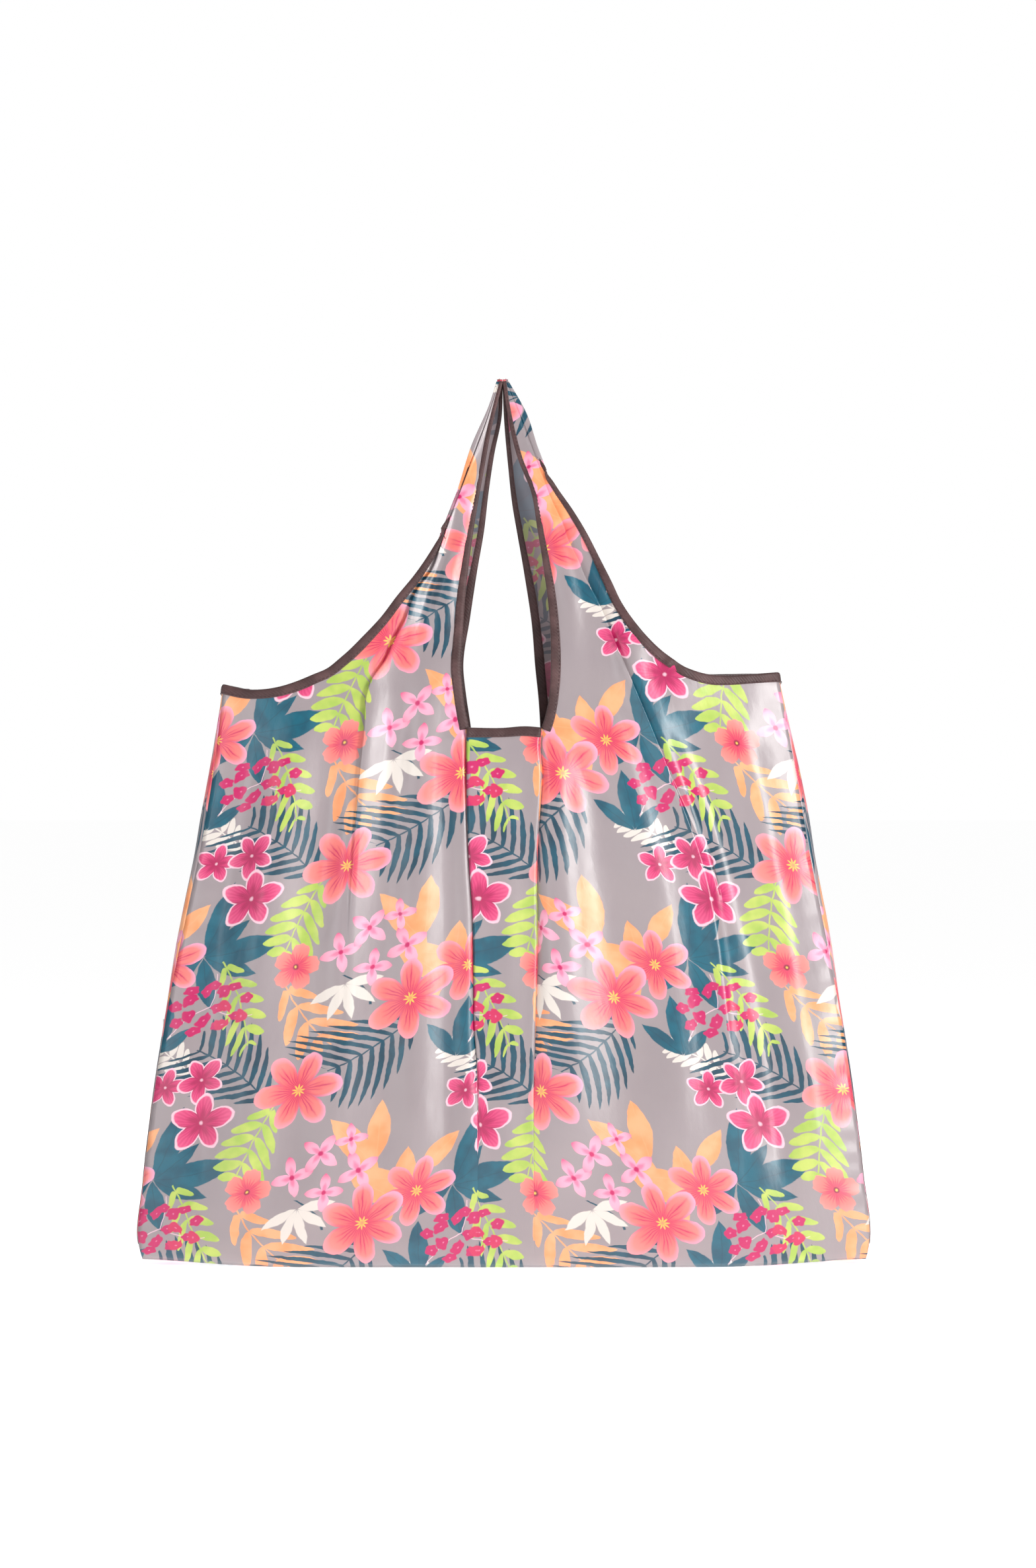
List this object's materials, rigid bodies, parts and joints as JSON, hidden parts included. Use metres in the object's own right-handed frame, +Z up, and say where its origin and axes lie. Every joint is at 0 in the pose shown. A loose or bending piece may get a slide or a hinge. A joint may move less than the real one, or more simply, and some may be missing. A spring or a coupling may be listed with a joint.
{
  "type": "foldable tote bag",
  "caption": "Vest-shaped foldable shopping bag of thin floral cloth with bound edges, loop handles meeting in a peak, and a snap tab for rolling it up.",
  "frame": {"origin": "centre of the base, on the surface that the bag stands on", "axes": "+X across the bag to the right seen from the front, front faces -Y, +Z up to the handles' peak"},
  "size_m": [0.55, 0.1, 0.67],
  "materials": {
    "printed_cloth": "satin",
    "binding_tape": "matte",
    "seam_tape": "matte",
    "snap_metal": "polished",
    "label_satin": "satin"
  },
  "bodies": {
    "bag": {"front_panel": "printed_cloth", "back_panel": "printed_cloth", "left_gusset": "printed_cloth", "right_gusset": "printed_cloth", "base_panel": "printed_cloth", "front_neck_binding": "binding_tape", "back_neck_binding": "binding_tape", "left_armhole_binding": "binding_tape", "right_armhole_binding": "binding_tape", "base_seam": "seam_tape", "front_left_seam": "seam_tape", "front_right_seam": "seam_tape", "back_left_seam": "seam_tape", "back_right_seam": "seam_tape", "tab_anchor": "binding_tape", "stud_flange": "snap_metal", "stud_post": "snap_metal", "care_label": "label_satin"},
    "left_handle": {"left_front_strap": "printed_cloth", "left_back_strap": "printed_cloth", "left_front_inner_binding": "binding_tape", "left_front_outer_binding": "binding_tape", "left_back_inner_binding": "binding_tape", "left_back_outer_binding": "binding_tape", "left_top_seam": "seam_tape"},
    "right_handle": {"right_front_strap": "printed_cloth", "right_back_strap": "printed_cloth", "right_front_inner_binding": "binding_tape", "right_front_outer_binding": "binding_tape", "right_back_inner_binding": "binding_tape", "right_back_outer_binding": "binding_tape", "right_top_seam": "seam_tape"},
    "closure": {"closure_tab": "binding_tape", "snap_socket": "snap_metal", "snap_cap": "snap_metal"}
  },
  "joints": [
    {"name": "left_handle_swing", "type": "hinge", "parent": "bag", "child": "left_handle", "pos_m": [-0.08, 0, 0.4555], "axis": [0, -1, 0], "range_deg": [0, 70]},
    {"name": "right_handle_swing", "type": "hinge", "parent": "bag", "child": "right_handle", "pos_m": [0.08, 0, 0.4555], "axis": [0, 1, 0], "range_deg": [0, 70]},
    {"name": "closure_tab_swing", "type": "hinge", "parent": "bag", "child": "closure", "pos_m": [0, 0.04353, 0.3705], "axis": [1, 0, 0], "range_deg": [0, 150]}
  ]
}
